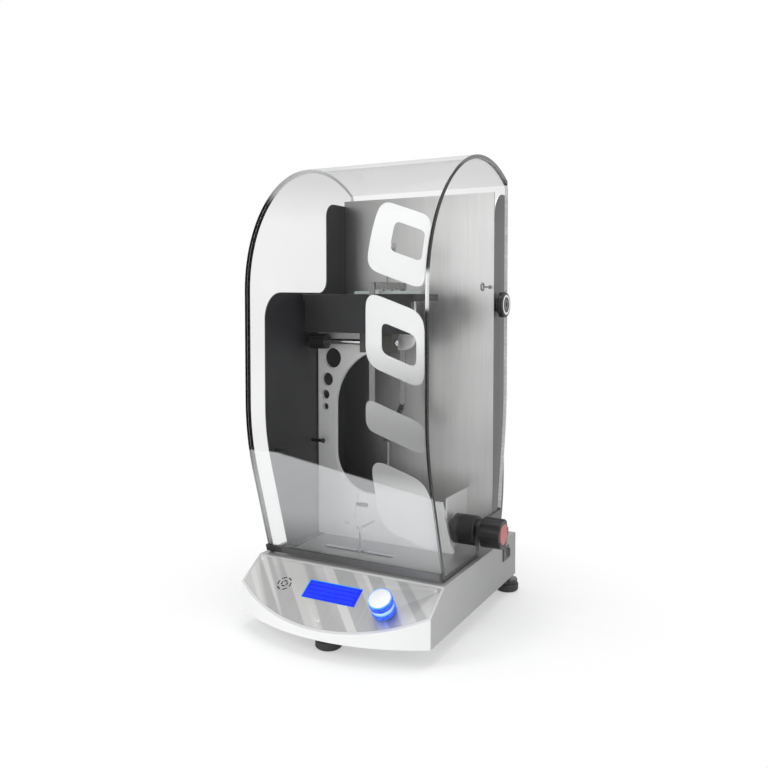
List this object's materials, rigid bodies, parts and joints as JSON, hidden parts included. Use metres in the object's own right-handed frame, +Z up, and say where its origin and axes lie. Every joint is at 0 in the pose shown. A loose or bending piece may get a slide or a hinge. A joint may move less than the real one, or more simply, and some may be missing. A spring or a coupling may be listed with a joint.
{
  "type": "pendulum hardness tester",
  "caption": "Bench instrument with a swinging pendulum on a C-shaped stand, a sample table, a sloped control panel and a clear tip-up hood.",
  "frame": {"origin": "centre of the overall box at the underside of the feet", "axes": "+Z up, +Y from the control panel to the rear column, +X to the side with the large knob"},
  "size_m": [0.38, 0.428, 0.7694],
  "materials": {
    "housing_coating": "satin pale grey coating",
    "panel_steel": "brushed",
    "sheet_steel": "brushed",
    "stand_steel": "fine brushed",
    "clear_acrylic": "clear",
    "black_plastic": "satin",
    "black_rubber": "matt",
    "bright_steel": "polished",
    "turned_steel": "turned",
    "float_glass": "polished",
    "display_blue": "gloss",
    "glow_blue": "translucent",
    "red_plastic": "satin",
    "board_green": "coated",
    "bearing_brass": "machined",
    "cast_case": "plain"
  },
  "bodies": {
    "base": {"base_housing": "housing_coating", "bottom_plate": "sheet_steel", "control_panel": "panel_steel", "panel_screws": "turned_steel", "lcd_window": "display_blue", "lcd_module": "black_plastic", "control_board": "board_green", "speaker": "black_plastic", "encoder_body": "turned_steel", "switch_bezel": "black_plastic", "power_inlet": "black_plastic", "power_supply": "cast_case", "pivot_pins": "turned_steel", "pivot_nuts": "turned_steel", "back_plate": "sheet_steel", "deck_screws": "turned_steel", "left_side_wall": "sheet_steel", "stand_plate": "stand_steel", "stand_bracket": "sheet_steel", "sample_table": "black_plastic", "table_bolts": "turned_steel", "glass_check_plate": "float_glass", "lift_bearings": "black_plastic", "screw_support": "black_plastic", "drive_bearing": "black_plastic", "light_gate": "black_plastic", "pendulum_pegs": "black_plastic", "hanger_eye": "bright_steel"},
    "hood": {"hood_arch": "clear_acrylic", "hood_left_side": "clear_acrylic", "hood_right_side": "clear_acrylic", "hood_front_seal": "black_rubber", "hood_side_seals": "black_rubber", "hood_hubs": "black_plastic"},
    "encoder_plunger": {"encoder_shaft": "turned_steel"},
    "encoder_knob": {"encoder_ring": "glow_blue", "encoder_cap": "black_plastic"},
    "switch_rocker": {"rocker": "black_plastic"},
    "lift": {"lift_shaft": "bright_steel", "lift_knob": "black_plastic", "lift_cam": "bright_steel"},
    "stirrup": {"lift_stirrup": "turned_steel"},
    "pendulum": {"pendulum_frame": "turned_steel", "pendulum_crossbar": "turned_steel", "pendulum_balls": "bright_steel", "pendulum_pointer": "bright_steel", "counterweight_rod": "bright_steel"},
    "balance_weight": {"counterweight": "bearing_brass"},
    "hook": {"start_hook": "bright_steel", "hook_carriage": "bearing_brass"},
    "drive": {"drive_screw": "turned_steel", "lobed_knob": "black_plastic", "knob_cap": "red_plastic"},
    "foot_front": {"foot_front_pad": "black_rubber"},
    "foot_front_wheel": {"foot_front_screw": "red_plastic"},
    "foot_rear_left": {"foot_rear_left_pad": "black_rubber"},
    "foot_rear_left_wheel": {"foot_rear_left_screw": "red_plastic"},
    "foot_rear_right": {"foot_rear_right_pad": "black_rubber"},
    "foot_rear_right_wheel": {"foot_rear_right_screw": "red_plastic"}
  },
  "joints": [
    {"name": "hood_open", "type": "hinge", "parent": "base", "child": "hood", "pos_m": [-0.011, 0.142, 0.523], "axis": [-1, 0, 0], "range_deg": [0, 65]},
    {"name": "encoder_push", "type": "slide", "parent": "base", "child": "encoder_plunger", "axis": [0, 0.5353, -0.8447], "range_m": [0, 0.0015], "stiffness_N_per_m": 1500},
    {"name": "encoder_turn", "type": "hinge", "parent": "encoder_plunger", "child": "encoder_knob", "pos_m": [0.0845, -0.1712, 0.08041], "axis": [0, -0.5353, 0.8447], "continuous": true},
    {"name": "switch_rock", "type": "hinge", "parent": "base", "child": "switch_rocker", "pos_m": [0.157, 0.153, 0.08], "axis": [0, 0, 1], "range_deg": [0, 16]},
    {"name": "lift_turn", "type": "hinge", "parent": "base", "child": "lift", "pos_m": [-0.011, 0.003, 0.459], "axis": [1, 0, 0], "range_deg": [-2, 92]},
    {"name": "stirrup_rise", "type": "slide", "parent": "base", "child": "stirrup", "axis": [0, 0, 1], "range_m": [0, 0.005]},
    {"name": "pendulum_swing", "type": "hinge", "parent": "stirrup", "child": "pendulum", "pos_m": [-0.011, 0.025, 0.549], "axis": [0, 1, 0], "range_deg": [-12, 12]},
    {"name": "balance_weight_slide", "type": "slide", "parent": "pendulum", "child": "balance_weight", "axis": [0, 0, 1], "range_m": [-0.035, 0.018]},
    {"name": "drive_turn", "type": "hinge", "parent": "base", "child": "drive", "pos_m": [-0.011, 0.057, 0.143], "axis": [1, 0, 0], "range_deg": [-1700, 1345]},
    {"name": "hook_travel", "type": "slide", "parent": "base", "child": "hook", "axis": [1, 0, 0], "range_m": [-0.057, 0.045]},
    {"name": "foot_front_level", "type": "slide", "parent": "base", "child": "foot_front", "axis": [0, 0, 1], "range_m": [-0.0005, 0.006]},
    {"name": "foot_front_turn", "type": "hinge", "parent": "foot_front", "child": "foot_front_wheel", "pos_m": [-0.011, -0.169, 0.018], "axis": [0, 0, 1], "range_deg": [-125, 1445]},
    {"name": "foot_rear_left_level", "type": "slide", "parent": "base", "child": "foot_rear_left", "axis": [0, 0, 1], "range_m": [-0.0005, 0.006]},
    {"name": "foot_rear_left_turn", "type": "hinge", "parent": "foot_rear_left", "child": "foot_rear_left_wheel", "pos_m": [-0.169, 0.193, 0.018], "axis": [0, 0, 1], "range_deg": [-125, 1445]},
    {"name": "foot_rear_right_level", "type": "slide", "parent": "base", "child": "foot_rear_right", "axis": [0, 0, 1], "range_m": [-0.0005, 0.006]},
    {"name": "foot_rear_right_turn", "type": "hinge", "parent": "foot_rear_right", "child": "foot_rear_right_wheel", "pos_m": [0.147, 0.193, 0.018], "axis": [0, 0, 1], "range_deg": [-125, 1445]}
  ],
  "couplings": [
    {"joint": "lift_turn", "follows": "stirrup_rise", "rad_per_m": 314.16},
    {"joint": "hook_travel", "follows": "drive_turn", "m_per_rad": 0.0019099},
    {"joint": "foot_front_turn", "follows": "foot_front_level", "rad_per_m": 4188.8},
    {"joint": "foot_rear_left_turn", "follows": "foot_rear_left_level", "rad_per_m": 4188.8},
    {"joint": "foot_rear_right_turn", "follows": "foot_rear_right_level", "rad_per_m": 4188.8}
  ]
}
